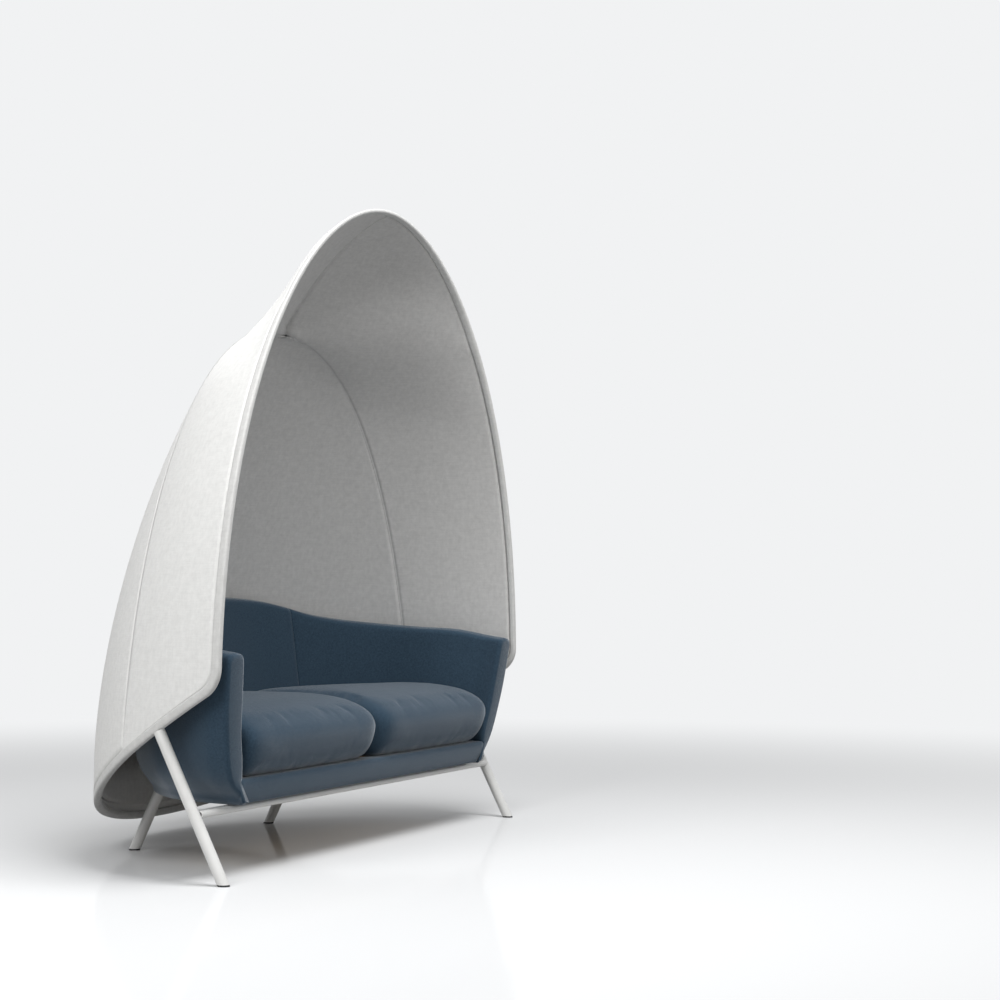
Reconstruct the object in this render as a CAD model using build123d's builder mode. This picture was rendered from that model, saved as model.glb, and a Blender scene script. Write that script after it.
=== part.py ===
"""Two-seat acoustic sofa: an upholstered tub under a tall moulded felt hood, on a steel tube base.

The origin is on the floor at the middle of the plan, +Z is up and the sofa faces -Y.
Lengths are millimetres. "behind" counts from the line through the two front feet.
"""
from build123d import *
from math import asin, cos, pi, sin
import os

# ---- driving dimensions: hood ----
FEET_LINE = -410.0           # y of the line through the front feet
RIM_HALF = 927.0             # half width of the hood's opening at arm height
APEX_Z = 1939.0              # top of the opening
RIM_WIDE_Z = 484.0           # the opening is widest here and below
CREASE_HALF = 845.0          # half width between the two folds at their foot
CREASE_TOP_Z = 1595.0        # the two folds meet on the spine here
CREASE_BEHIND = 362.0        # behind: the upright plane of the two folds
REAR_REACH = 840.0           # behind: the fullest point of the back
REAR_FULL_Z = 300.0          # the back is upright below this height
RIM_FOOT_BEHIND = -13.0      # behind: the rim at z = 600
RIM_TOP_BEHIND = -27.0       # behind: the rim at the apex
HEM_Z = 521.0                # height of the lower edge's plane over the feet line
HEM_SLOPE = 0.56             # fall of the lower edge for each mm towards the back
HEM_CORNER = 90.0            # round where the rim turns into the lower edge
HOOD_WALL = 26.0             # shell and lining together
SHELL_WALL = 15.0            # moulded outer shell
RIM_WIDTH = 26.0             # rolled edge
GROOVE = 6.0                 # gap between the rolled edge and the lining
SIDE_BOW = 21.0              # belly of a side panel between rim and fold
SPINE_HALF = 8.0             # half width of the rounded spine above the folds

# ---- driving dimensions: tub ----
TUB_BOTTOM = 200.0
TUB_HALF = 873.0             # half width over the arms
TUB_SHOULDER = 748.0         # half width where the side turns into the back
TUB_SHOULDER_BEHIND = 362.0
TUB_REAR = 742.0             # behind: rear of the tub
SEAT_Z = 271.0               # top of the seat deck, under the cushions
NOSE_LEAN = 0.134            # the arm fronts lean forward by this for each mm of height
NOSE_BEHIND = -15.0          # behind: arm front at z = 600
SEAM_HALF = 397.0            # the seams between back and arms
WELL_INSET = 100.0           # ledge round the open well under the seat
PLY = 15.0

# ---- driving dimensions: cushions ----
CUSHION_TOP = 468.0
CUSHION_GAP = 3.0            # half the slit between the two cushions

# ---- driving dimensions: steel base ----
TUBE = 32.0
TUBE_WALL = 2.0
FRONT_FOOT_X = 879.0
REAR_FOOT_X = 377.0
REAR_FOOT_BEHIND = 653.0
LEG_LEAN = 0.51              # run of a leg for each mm of height
BAR_W, BAR_H = 40.0, 20.0    # flat oval tube
BAR_Z = 185.0
GLIDE_H = 5.0
PLATE_T = 5.0

os.makedirs("parts", exist_ok=True)


def keep(builder, name):
    """Label a finished piece and write it out."""
    builder.part.label = name
    export_step(builder.part, f"parts/{name}.step")


def behind(distance):
    """The y coordinate of a point that lies this far behind the front feet."""
    return FEET_LINE + distance


def crown(share, bend, fullness):
    """One at share 0, falling to zero at share 1, on a superellipse."""
    return (1.0 - min(max(share, 0.0), 1.0) ** bend) ** fullness


# ---- the hood's form: three curves against height ----

def rim_half(z, inset):
    return (RIM_HALF - inset) * crown((z - RIM_WIDE_Z) / (APEX_Z - RIM_WIDE_Z - 0.6 * inset), 2.11, 0.5175)


def crease_half(z, inset):
    foot = 100.0
    wide = (CREASE_HALF - inset) * crown((z - foot) / (CREASE_TOP_Z - foot - inset), 1.94, 0.466)
    return max(wide, SPINE_HALF)


def rear_behind(z, inset):
    reach = REAR_REACH - RIM_TOP_BEHIND - inset
    rise = APEX_Z - REAR_FULL_Z - 0.6 * inset
    return RIM_TOP_BEHIND + reach * crown((z - REAR_FULL_Z) / rise, 1.64, 0.666)


def rim_behind(z):
    return RIM_FOOT_BEHIND + (z - 600.0) * (RIM_TOP_BEHIND - RIM_FOOT_BEHIND) / (APEX_Z - 600.0)


def crease_behind(z, inset):
    return min(CREASE_BEHIND - 0.55 * inset, rear_behind(z, inset) - 1.5)


HOOD_LEVELS = (0.0, 180.0, 360.0, 520.0, 680.0, 840.0, 1000.0, 1140.0, 1270.0, 1380.0, 1470.0,
               1530.0, 1565.0, 1585.0, 1594.0, 1640.0, 1700.0, 1760.0, 1810.0, 1850.0, 1885.0,
               1908.0, 1924.0)
LIP_RUN = 80.0               # how far the raw hood runs past its rim before it is trimmed
REACH_X = 1200.0             # cutting blocks reach this far to each side
OVER = 20.0                  # a right half runs this far past the middle before it is cut there


def half_outline(z, inset):
    """Level section of the hood's right half and a strip past the middle plane."""
    rim, fold = rim_half(z, inset), crease_half(z, inset)
    y_rim, y_fold = behind(rim_behind(z)), behind(crease_behind(z, inset))
    y_lip, y_rear = y_rim - LIP_RUN, behind(rear_behind(z, inset))
    run = max(y_fold - y_rim, 1.0)
    bow = min(SIDE_BOW, 0.08 * run)
    belly = ((rim + fold) / 2.0 + bow, (y_rim + y_fold) / 2.0 + bow * (rim - fold) / run)
    sag = y_rear - y_fold
    radius = (fold ** 2 + sag ** 2) / (2.0 * sag)
    half_angle = 0.5 * asin(fold / radius) if sag < fold else 0.5 * (pi - asin(fold / radius))
    back = (radius * sin(half_angle), y_rear - radius + radius * cos(half_angle))
    with BuildSketch(Plane.XY.offset(z)) as level:
        with BuildLine():
            Polyline((0, y_rear), (-OVER, y_rear), (-OVER, y_lip), (rim, y_lip), (rim, y_rim))
            ThreePointArc((rim, y_rim), belly, (fold, y_fold))
            ThreePointArc((fold, y_fold), back, (0, y_rear))
        make_face()
    return level.sketch


def half_hood(inset):
    """The right half of the hood's form, this far inside its outer face."""
    top = APEX_Z - 0.6 * inset - 1.0
    levels = [z for z in HOOD_LEVELS if z < top - 6.0] + [top - 5.0, top]
    with BuildPart() as form:
        loft(sections=[half_outline(z, inset) for z in levels], ruled=True)
    return form.part


def hem_height(y):
    """Height of the hood's lower edge at this y."""
    return HEM_Z - HEM_SLOPE * (y - FEET_LINE)


def hood_side_view(margin):
    """The hood seen from the side, cut by the rim's plane and the hem's plane."""
    z_high, far = 2100.0, behind(1100.0)
    y_high = behind(rim_behind(z_high))
    y_meet = behind(rim_behind(HEM_Z - HEM_SLOPE * RIM_FOOT_BEHIND))
    with BuildSketch(Plane.YZ.offset(-REACH_X)) as view:
        with BuildLine():
            Polyline((y_meet, hem_height(y_meet)), (far, hem_height(far)), (far, z_high),
                     (y_high, z_high), (y_meet, hem_height(y_meet)))
        make_face()
        corner = view.vertices().sort_by(Axis.Y)[0]
        fillet(corner, HEM_CORNER)
        if margin:
            offset(amount=-margin, kind=Kind.INTERSECTION, mode=Mode.REPLACE)
    return view.sketch


def trimmed(margin):
    """The whole side-view region, this far inside the rim and the hem, as a solid block."""
    with BuildPart() as block:
        extrude(hood_side_view(margin), amount=2.0 * REACH_X, dir=(1, 0, 0))
    return block.part


def back_region():
    """Everything behind the folds, up to where they meet on the spine."""
    with BuildPart() as block:
        with BuildSketch(Plane.XY):
            with Locations((0.0, behind(CREASE_BEHIND))):
                Rectangle(2.0 * REACH_X, 900.0, align=(Align.CENTER, Align.MIN))
        extrude(amount=CREASE_TOP_Z)
    return block.part


def right_side():
    """Everything on the right of the middle plane."""
    with BuildPart() as block:
        with BuildSketch(Plane.XY.offset(-50.0)):
            Rectangle(REACH_X, 3000.0, align=(Align.MIN, Align.CENTER))
        extrude(amount=2200.0)
    return block.part


def mirrored(part):
    """The same piece on the other side of the middle plane."""
    with BuildPart() as other:
        mirror(part, about=Plane.YZ)
    return other


outer_half = half_hood(0.0)
middle_half = half_hood(SHELL_WALL)
inner_half = half_hood(HOOD_WALL)
whole_view = trimmed(0.0)
inside_rim = trimmed(RIM_WIDTH)
inside_groove = trimmed(RIM_WIDTH + GROOVE)
behind_folds = back_region()
right_block = right_side()

# ---- spigots: flat steel tongues that carry the hood on the front legs ----
SPIGOT_T, SPIGOT_W = 6.0, 16.0
SPIGOT_LOW, SPIGOT_HIGH = 372.0, 460.0
SPIGOT_IN = 8.0              # towards the middle from the leg's axis, inside the felt
SPIGOT_TURN = 11.5           # degrees, to lie along the side of the hood


def leg_plane(x, foot_behind, lean):
    """A plane on the floor whose normal runs up the leg."""
    return Plane(origin=(x, behind(foot_behind), 0), x_dir=(1, 0, 0), z_dir=(0, lean, 1.0))


def along(z):
    """Distance along a leaning leg at this height."""
    return z * (1.0 + LEG_LEAN ** 2) ** 0.5


with BuildPart() as spigot:
    with BuildSketch(leg_plane(FRONT_FOOT_X - SPIGOT_IN, 0.0, LEG_LEAN).offset(along(SPIGOT_LOW))):
        Rectangle(SPIGOT_T, SPIGOT_W, rotation=SPIGOT_TURN)
    extrude(amount=along(SPIGOT_HIGH) - along(SPIGOT_LOW))

# ---- hood: rolled rim, moulded shell in three panels, inner lining in three panels ----
with BuildPart() as hood_rim:
    add(outer_half)
    add(inner_half, mode=Mode.SUBTRACT)
    add(whole_view, mode=Mode.INTERSECT)
    add(inside_rim, mode=Mode.SUBTRACT)
    add(right_block, mode=Mode.INTERSECT)
    add(spigot.part, mode=Mode.SUBTRACT)

with BuildPart() as shell:
    add(outer_half)
    add(middle_half, mode=Mode.SUBTRACT)
    add(inside_rim, mode=Mode.INTERSECT)
    add(right_block, mode=Mode.INTERSECT)
    add(spigot.part, mode=Mode.SUBTRACT)

with BuildPart() as lining:
    add(middle_half)
    add(inner_half, mode=Mode.SUBTRACT)
    add(inside_groove, mode=Mode.INTERSECT)
    add(right_block, mode=Mode.INTERSECT)
    add(spigot.part, mode=Mode.SUBTRACT)

keep(hood_rim, "hood_rim_right")
keep(mirrored(hood_rim.part), "hood_rim_left")
keep(spigot, "hood_spigot_right")
keep(mirrored(spigot.part), "hood_spigot_left")

for layer, wall in (("shell", shell), ("lining", lining)):
    with BuildPart() as back_panel:
        add(wall.part)
        add(behind_folds, mode=Mode.INTERSECT)
        mirror(about=Plane.YZ)
    keep(back_panel, f"hood_back_{layer}")
    with BuildPart() as side_panel:
        add(wall.part)
        add(behind_folds, mode=Mode.SUBTRACT)
    keep(side_panel, f"hood_side_{layer}_right")
    keep(mirrored(side_panel.part), f"hood_side_{layer}_left")

# ---- tub: level sections of its outer form, its top edge, its seat hollow ----

# height, and how far the front of the arms is drawn in there
TUB_KEEL = ((200.0, 145.0), (212.0, 139.0), (226.0, 126.0), (243.0, 102.0), (262.0, 81.0), (290.0, 63.0),
            (326.0, 48.0), (385.0, 31.0), (447.0, 16.0), (511.0, 7.0), (600.0, 0.0), (800.0, 18.0))
SHOULDER_SHARE, REAR_SHARE = 0.6, 0.42      # below the arms' fullest height the rest draws in less


def tub_taper(z, share):
    """How far the tub is drawn in at this height, where its keel has this share of the front's."""
    rows = [pair for pair in zip(TUB_KEEL, TUB_KEEL[1:]) if z <= pair[1][0]][0]
    (low, near), (high, far) = rows
    return (near + (far - near) * (z - low) / (high - low)) * (share if z < 600.0 else 1.0)


def nose_behind(z):
    return NOSE_BEHIND + NOSE_LEAN * (600.0 - z)


def tub_outline(z, inset, front):
    """Right half of the tub's level section, and a strip past the middle plane."""
    arm_in, shoulder_in, rear_in = [inset + tub_taper(z, share) for share in (1.0, SHOULDER_SHARE, REAR_SHARE)]
    shoulder = (TUB_SHOULDER - shoulder_in, behind(TUB_SHOULDER_BEHIND - 0.5 * shoulder_in))
    rear = (0.0, behind(TUB_REAR - rear_in))
    turn = (shoulder[0] * 0.56, rear[1] - 0.26 * (TUB_REAR - TUB_SHOULDER_BEHIND))
    corner = (TUB_HALF - arm_in, behind(0.0))
    belly = ((corner[0] + shoulder[0]) / 2.0 + 9.0, (corner[1] + shoulder[1]) / 2.0 + 3.0)
    with BuildSketch(Plane.XY.offset(z)) as level:
        with BuildLine():
            Polyline(rear, (-OVER, rear[1]), (-OVER, front), (corner[0], front), corner)
            ThreePointArc(corner, belly, shoulder)
            ThreePointArc(shoulder, turn, rear)
        make_face()
    return level.sketch


def between(low, high, share):
    return low + (high - low) * share


def seat_outline(z, inset, front, split):
    """Right half of the seat hollow at this height, drawn in by the inset."""
    share = (z - SEAT_Z) / (715.0 - SEAT_Z)
    half = between(750.0, 795.0, min((z - SEAT_Z) / (600.0 - SEAT_Z), 1.0)) - inset
    open_front = front < behind(-10.0)
    corner = (half, behind(0.0) if open_front else front)
    side = (between(635.0, 663.0, share) - 0.9 * inset, behind(between(350.0, 368.0, share) - 0.45 * inset))
    seam = (between(400.0, 395.0, share) - 0.4 * inset, behind(between(520.0, 574.0, share) - 0.9 * inset))
    rear = (split, behind(between(570.0, 640.0, share) - inset))
    hip = ((corner[0] + side[0]) / 2.0 + 8.0, (corner[1] + side[1]) / 2.0 + 3.0)
    turn = ((side[0] + seam[0]) / 2.0 + 11.0, (side[1] + seam[1]) / 2.0 + 15.0)
    spread = (seam[0] - split) / 2.0
    small_of_back = (split + spread, between(rear[1], seam[1], 0.27))
    with BuildSketch(Plane.XY.offset(z)) as level:
        with BuildLine():
            if open_front:
                Polyline(rear, (split, front), (corner[0], front), corner)
            else:
                Polyline(rear, (split, front), corner)
            ThreePointArc(corner, hip, side)
            ThreePointArc(side, turn, seam)
            ThreePointArc(seam, small_of_back, rear)
        make_face()
    return level.sketch


TUB_EDGE = ((53.0, 626.0), (155.0, 646.0), (290.0, 655.0), (438.0, 671.0), (540.0, 692.0),
            (597.0, 715.0), (640.0, 739.0), (690.0, 758.0), (830.0, 764.0))
TUB_FAR = 830.0

with BuildPart() as tub_form:
    loft(sections=[tub_outline(z, 0.0, behind(-60.0)) for z, drawn in TUB_KEEL], ruled=True)

with BuildPart() as tub_view:
    with BuildSketch(Plane.YZ):
        with BuildLine():
            nose = (behind(nose_behind(614.0)), 614.0)
            Polyline(nose, (behind(nose_behind(TUB_BOTTOM)), TUB_BOTTOM), (behind(TUB_FAR), TUB_BOTTOM),
                     (behind(TUB_FAR), TUB_EDGE[-1][1]))
            Spline(nose, *[(behind(run), height) for run, height in TUB_EDGE])
        make_face()
    extrude(amount=REACH_X)

with BuildPart() as seat_hollow:
    loft(sections=[seat_outline(z, 0.0, behind(-120.0), -2.0 * OVER) for z in (SEAT_Z, 600.0, 800.0)],
         ruled=True)

# ---- bolts that hold the tub down on the side rails ----
BOLT_R, BOLT_HEAD_R, BOLT_HEAD_H, BOLT_BITE = 4.0, 6.5, 5.0, 22.0
BOLT_BEHIND = (170.0, 370.0)


def bolt_at(run):
    """Bolt with its head under the rail, up through plate and panel into the rib."""
    low = BAR_Z - BAR_H / 2.0
    with BuildPart() as screw:
        for z_low, z_high, radius in ((low - BOLT_HEAD_H, low, BOLT_HEAD_R),
                                      (low, TUB_BOTTOM + PLY + BOLT_BITE, BOLT_R)):
            with BuildSketch(Plane.XY.offset(z_low)):
                with Locations((REAR_FOOT_X, behind(run))):
                    Circle(radius)
            extrude(amount=z_high - z_low)
    return screw


bolts = [bolt_at(run) for run in BOLT_BEHIND]
for name, screw in zip(("front", "rear"), bolts):
    keep(screw, f"{name}_bolt_right")
    keep(mirrored(screw.part), f"{name}_bolt_left")

# ---- tub frame: base panel, ribs, seat deck, boards inside the upholstery ----
RAIL_DEPTH = 58.0            # front rail, front to back
RAIL_HALF = 744.0
DECK_LOW = SEAT_Z - 16.0
WINDOW_X, WINDOW_Y = 380.0, 220.0
WINDOW_AT = (270.0, 235.0)     # middle of the window on the right: x, behind


def plank(z_low, z_high, inset, front):
    """A flat sheet of the tub's plan at its lower face, right half mirrored into a whole."""
    with BuildPart() as sheet:
        extrude(tub_outline(z_low, inset, behind(-60.0)), amount=z_high - z_low)
        with BuildSketch(Plane.XY.offset(z_low)):
            with Locations((0, behind(front))):
                Rectangle(REACH_X, 900.0, align=(Align.MIN, Align.MIN))
        extrude(amount=z_high - z_low, mode=Mode.INTERSECT)
        mirror(about=Plane.YZ)
    return sheet


panel_blank = plank(TUB_BOTTOM, TUB_BOTTOM + PLY, 15.0, 100.0)
with BuildPart() as base_panel:
    add(panel_blank.part)
    for screw in bolts:
        add(screw.part, mode=Mode.SUBTRACT)
        add(mirrored(screw.part).part, mode=Mode.SUBTRACT)
keep(base_panel, "tub_base_panel")

deck_blank = plank(DECK_LOW, SEAT_Z, 12.0, 95.0)
with BuildPart() as seat_deck:
    add(deck_blank.part)
    with BuildSketch(Plane.XY.offset(DECK_LOW)):
        with Locations(*[(side * WINDOW_AT[0], behind(WINDOW_AT[1])) for side in (-1, 1)]):
            RectangleRounded(WINDOW_X, WINDOW_Y, 30.0)
    extrude(amount=SEAT_Z - DECK_LOW, mode=Mode.SUBTRACT)
keep(seat_deck, "seat_deck")

STRAP_T = 3.0
for name, side in (("left", -1), ("right", 1)):
    with BuildPart() as webbing:
        with BuildSketch(Plane.XY.offset(DECK_LOW - STRAP_T)):
            with Locations((side * WINDOW_AT[0], behind(WINDOW_AT[1]))):
                with GridLocations(75.0, 0.0, 5, 1):
                    Rectangle(50.0, WINDOW_Y + 30.0)
                with GridLocations(0.0, 70.0, 1, 3):
                    Rectangle(WINDOW_X + 30.0, 50.0)
        extrude(amount=STRAP_T)
    keep(webbing, f"seat_webbing_{name}")

RIB_T = 18.0
RIB_RUN = (115.0, 405.0)
with BuildPart() as base_rib:
    with BuildSketch(Plane.XY.offset(TUB_BOTTOM + PLY)):
        with Locations((REAR_FOOT_X, behind(RIB_RUN[0]))):
            Rectangle(RIB_T, RIB_RUN[1] - RIB_RUN[0], align=(Align.CENTER, Align.MIN))
    extrude(amount=DECK_LOW - STRAP_T - TUB_BOTTOM - PLY)
    for screw in bolts:
        add(screw.part, mode=Mode.SUBTRACT)
keep(base_rib, "tub_base_rib_right")
keep(mirrored(base_rib.part), "tub_base_rib_left")

with BuildPart() as front_board:
    with BuildSketch(Plane.XY.offset(TUB_BOTTOM + 6.0)):
        with Locations((0.0, behind(67.0))):
            Rectangle(1400.0, RIB_T)
    extrude(amount=SEAT_Z - TUB_BOTTOM - 14.0)
keep(front_board, "front_rail_board")

# arm board: one flat sheet leaning out with the arm, standing on the deck
ARM_FOOT, ARM_HEAD, ARM_FAR = (775.5, 20.0, 300.0), (831.0, 20.0, 560.0), (694.0, 290.0, 300.0)


def sheet_plane(foot, head, far):
    """The plane through three points of a board's middle, its x along the board."""
    foot, head, far = [Vector(x, behind(run), z) for x, run, z in (foot, head, far)]
    along_board = (far - foot).normalized()
    return Plane(origin=foot, x_dir=along_board, z_dir=along_board.cross(head - foot).normalized())


with BuildPart() as arm_board:
    with BuildSketch(sheet_plane(ARM_FOOT, ARM_HEAD, ARM_FAR).offset(-PLY / 2.0)):
        with Locations((25.0, -60.0)):
            Rectangle(250.0, 320.0, align=(Align.MIN, Align.MIN))
    extrude(amount=PLY)
    with BuildSketch(Plane.XY.offset(SEAT_Z - 200.0)):
        with Locations((700.0, behind(150.0))):
            Rectangle(600.0, 900.0)
    extrude(amount=200.0, mode=Mode.SUBTRACT)

# back board: one flat sheet leaning back with the seat's rear
BACK_BOARD_HALF = 290.0
with BuildPart() as back_board:
    with BuildSketch(Plane.YZ.offset(-BACK_BOARD_HALF)):
        with BuildLine():
            foot, head = (behind(589.0), SEAT_Z), (behind(647.0), 690.0)
            Polyline(foot, (foot[0] + PLY, foot[1]), (head[0] + PLY, head[1]), head, foot)
        make_face()
    extrude(amount=2.0 * BACK_BOARD_HALF)

keep(arm_board, "tub_arm_board_right")
keep(mirrored(arm_board.part), "tub_arm_board_left")
keep(back_board, "tub_back_board")

# ---- tub upholstery: front rail, two arms, back ----
with BuildPart() as rail_blank:
    with BuildSketch(Plane.YZ):
        with BuildLine():
            low, high = behind(nose_behind(TUB_BOTTOM)), behind(nose_behind(SEAT_Z))
            Polyline((low, TUB_BOTTOM), (low + RAIL_DEPTH, TUB_BOTTOM), (high + RAIL_DEPTH, SEAT_Z),
                     (high, SEAT_Z), (low, TUB_BOTTOM))
        make_face()
    extrude(amount=RAIL_HALF)

with BuildPart() as front_rail:
    add(rail_blank.part)
    add(tub_form.part, mode=Mode.INTERSECT)
    mirror(about=Plane.YZ)
    add(front_board.part, mode=Mode.SUBTRACT)
keep(front_rail, "front_rail")

with BuildPart() as well:
    extrude(seat_outline(SEAT_Z, WELL_INSET, behind(60.0), -2.0 * OVER), amount=-(SEAT_Z - TUB_BOTTOM))

with BuildPart() as tub_half:
    add(tub_form.part)
    add(tub_view.part, mode=Mode.INTERSECT)
    for hollow in (seat_hollow, well, rail_blank, panel_blank, deck_blank, arm_board, back_board):
        add(hollow.part, mode=Mode.SUBTRACT)
    add(right_block, mode=Mode.INTERSECT)

with BuildPart() as seam_block:
    with BuildSketch():
        with Locations((SEAM_HALF, 0.0)):
            Rectangle(REACH_X, 3000.0, align=(Align.MIN, Align.CENTER))
    extrude(amount=1000.0)

with BuildPart() as tub_arm:
    add(tub_half.part)
    add(seam_block.part, mode=Mode.INTERSECT)
keep(tub_arm, "tub_arm_right")
keep(mirrored(tub_arm.part), "tub_arm_left")

with BuildPart() as tub_back:
    add(tub_half.part)
    add(seam_block.part, mode=Mode.SUBTRACT)
    mirror(about=Plane.YZ)
keep(tub_back, "tub_back")

# ---- seat cushions: height, draw-in, front edge; full at the belt, crowned on top ----
CUSHION_LEVELS = ((SEAT_Z + 1.0, 22.0, 34.0), (286.0, 8.0, 10.0), (335.0, 3.0, -2.0), (388.0, 5.0, 5.0),
                  (430.0, 22.0, 40.0), (452.0, 70.0, 110.0), (464.0, 140.0, 185.0),
                  (CUSHION_TOP, 175.0, 225.0))

with BuildPart() as cushion:
    loft(sections=[seat_outline(z, inset, behind(front + 0.5), CUSHION_GAP + 0.9 * (inset - 3.0))
                   for z, inset, front in CUSHION_LEVELS], ruled=True)
keep(cushion, "seat_cushion_right")
keep(mirrored(cushion.part), "seat_cushion_left")

# ---- steel base: leaning legs, flat oval bars, glides, plates and bolts ----
GLIDE_PLUG = 16.0


def below(z_low, z_high):
    """A block that takes in everything between two heights."""
    with BuildPart() as block:
        with BuildSketch(Plane.XY.offset(z_low)):
            Rectangle(3000.0, 3000.0)
        extrude(amount=z_high - z_low)
    return block.part


def leg(x, foot_behind, lean, top, bore_top):
    """Tube from its glide to the height given, cut level at the foot."""
    foot = leg_plane(x, foot_behind, lean)
    with BuildPart() as tube:
        with BuildSketch(foot.offset(-30.0)):
            Circle(TUBE / 2.0)
        extrude(amount=along(top) + 60.0)
        with BuildSketch(foot.offset(-30.0)):
            Circle(TUBE / 2.0 - TUBE_WALL)
        extrude(amount=along(bore_top) + 30.0, mode=Mode.SUBTRACT)
        add(below(GLIDE_H, top), mode=Mode.INTERSECT)
    return tube


def glide(x, foot_behind, lean):
    """Low plastic foot with a plug that goes up into the tube."""
    foot = leg_plane(x, foot_behind, lean)
    with BuildPart() as puck:
        with BuildSketch(foot.offset(-30.0)):
            Circle(TUBE / 2.0 - 0.5)
        extrude(amount=60.0)
        add(below(0.0, GLIDE_H), mode=Mode.INTERSECT)
    with BuildPart() as plug:
        with BuildSketch(foot.offset(-30.0)):
            Circle(TUBE / 2.0 - TUBE_WALL)
        extrude(amount=90.0)
        add(below(GLIDE_H, GLIDE_H + GLIDE_PLUG), mode=Mode.INTERSECT)
    with BuildPart() as whole:
        add(puck.part)
        add(plug.part)
    return whole


HEM_CUT_TOP = 440.0
with BuildPart() as under_hem:
    with BuildSketch(Plane.YZ.offset(-REACH_X)):
        with BuildLine():
            near, far = behind(-300.0), behind(900.0)
            Polyline((near, -50.0), (far, -50.0), (far, hem_height(far)), (near, hem_height(near)),
                     (near, -50.0))
        make_face()
    extrude(amount=2.0 * REACH_X)

with BuildPart() as front_leg:
    add(leg(FRONT_FOOT_X, 0.0, LEG_LEAN, HEM_CUT_TOP, SPIGOT_LOW - 8.0).part)
    add(under_hem.part, mode=Mode.INTERSECT)
    add(spigot.part, mode=Mode.SUBTRACT)
rear_leg = leg(REAR_FOOT_X, REAR_FOOT_BEHIND, -LEG_LEAN, BAR_Z + BAR_H / 2.0, 500.0)
keep(front_leg, "front_leg_right")
keep(mirrored(front_leg.part), "front_leg_left")
keep(rear_leg, "rear_leg_right")
keep(mirrored(rear_leg.part), "rear_leg_left")
FEET = {"front": (FRONT_FOOT_X, 0.0, LEG_LEAN), "rear": (REAR_FOOT_X, REAR_FOOT_BEHIND, -LEG_LEAN)}
for name, foot in FEET.items():
    pad = glide(*foot)
    keep(pad, f"{name}_glide_right")
    keep(mirrored(pad.part), f"{name}_glide_left")


def cylinder_of(x, foot_behind, lean):
    """The solid outline of a leg, to cope the bars that meet it."""
    with BuildPart() as rod:
        with BuildSketch(leg_plane(x, foot_behind, lean)):
            Circle(TUBE / 2.0)
        extrude(amount=400.0)
    return rod.part


FRONT_BAR = LEG_LEAN * BAR_Z
REAR_BAR = REAR_FOOT_BEHIND - LEG_LEAN * BAR_Z
front_rods = [cylinder_of(side * FRONT_FOOT_X, 0.0, LEG_LEAN) for side in (-1, 1)]
rear_rods = [cylinder_of(side * REAR_FOOT_X, REAR_FOOT_BEHIND, -LEG_LEAN) for side in (-1, 1)]


def crossbar(bar_behind, half, rods):
    """Flat oval tube across the base, coped to the legs."""
    with BuildPart() as bar:
        with BuildSketch(Plane.YZ.offset(-half)):
            with Locations((behind(bar_behind), BAR_Z)):
                RectangleRounded(BAR_W, BAR_H, BAR_H / 2.0 - 0.5)
                RectangleRounded(BAR_W - 4.0, BAR_H - 4.0, BAR_H / 2.0 - 2.5, mode=Mode.SUBTRACT)
        extrude(amount=2.0 * half)
        for rod in rods:
            add(rod, mode=Mode.SUBTRACT)
    return bar


front_bar = crossbar(FRONT_BAR, FRONT_FOOT_X - 9.0, front_rods)
rear_bar = crossbar(REAR_BAR, REAR_FOOT_X - 9.0, rear_rods)
keep(front_bar, "front_crossbar")
keep(rear_bar, "rear_crossbar")

rail_run = (FRONT_BAR + BAR_W / 2.0 - 10.0, REAR_BAR)
with BuildPart() as side_rail:
    with BuildSketch(Plane.XZ.offset(-behind(rail_run[0]))):
        with Locations((REAR_FOOT_X, BAR_Z)):
            RectangleRounded(BAR_W, BAR_H, BAR_H / 2.0 - 0.5)
            RectangleRounded(BAR_W - 4.0, BAR_H - 4.0, BAR_H / 2.0 - 2.5, mode=Mode.SUBTRACT)
    extrude(amount=-(rail_run[1] - rail_run[0]))
    with BuildSketch(Plane.YZ):
        for run in (FRONT_BAR, REAR_BAR):
            with Locations((behind(run), BAR_Z)):
                RectangleRounded(BAR_W, BAR_H, BAR_H / 2.0 - 0.5)
    extrude(amount=REACH_X, mode=Mode.SUBTRACT)
    add(rear_rods[1], mode=Mode.SUBTRACT)
    for screw in bolts:
        add(screw.part, mode=Mode.SUBTRACT)
keep(side_rail, "side_rail_right")
keep(mirrored(side_rail.part), "side_rail_left")

PLATE_LONG, PLATE_WIDE = 100.0, 70.0
for name, run, screw in zip(("front", "rear"), BOLT_BEHIND, bolts):
    with BuildPart() as plate:
        with BuildSketch(Plane.XY.offset(TUB_BOTTOM - PLATE_T)):
            with Locations((REAR_FOOT_X, behind(run))):
                RectangleRounded(PLATE_WIDE, PLATE_LONG, 8.0)
        extrude(amount=PLATE_T)
        add(screw.part, mode=Mode.SUBTRACT)
    keep(plate, f"{name}_plate_right")
    keep(mirrored(plate.part), f"{name}_plate_left")

# ---- spacers between the back of the tub and the hood's lining ----
SPACER_X, SPACER_Z, SPACER_R = 260.0, 600.0, 22.0
with BuildPart() as spacer:
    with BuildSketch(Plane.XZ.offset(-behind(640.0))):
        with Locations((SPACER_X, SPACER_Z)):
            Circle(SPACER_R)
    extrude(amount=-160.0)
    add(inner_half, mode=Mode.INTERSECT)
    add(tub_form.part, mode=Mode.SUBTRACT)
keep(spacer, "hood_spacer_right")
keep(mirrored(spacer.part), "hood_spacer_left")
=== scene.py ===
from math import asin, atan2, cos, hypot, pi, radians, sin

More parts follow.
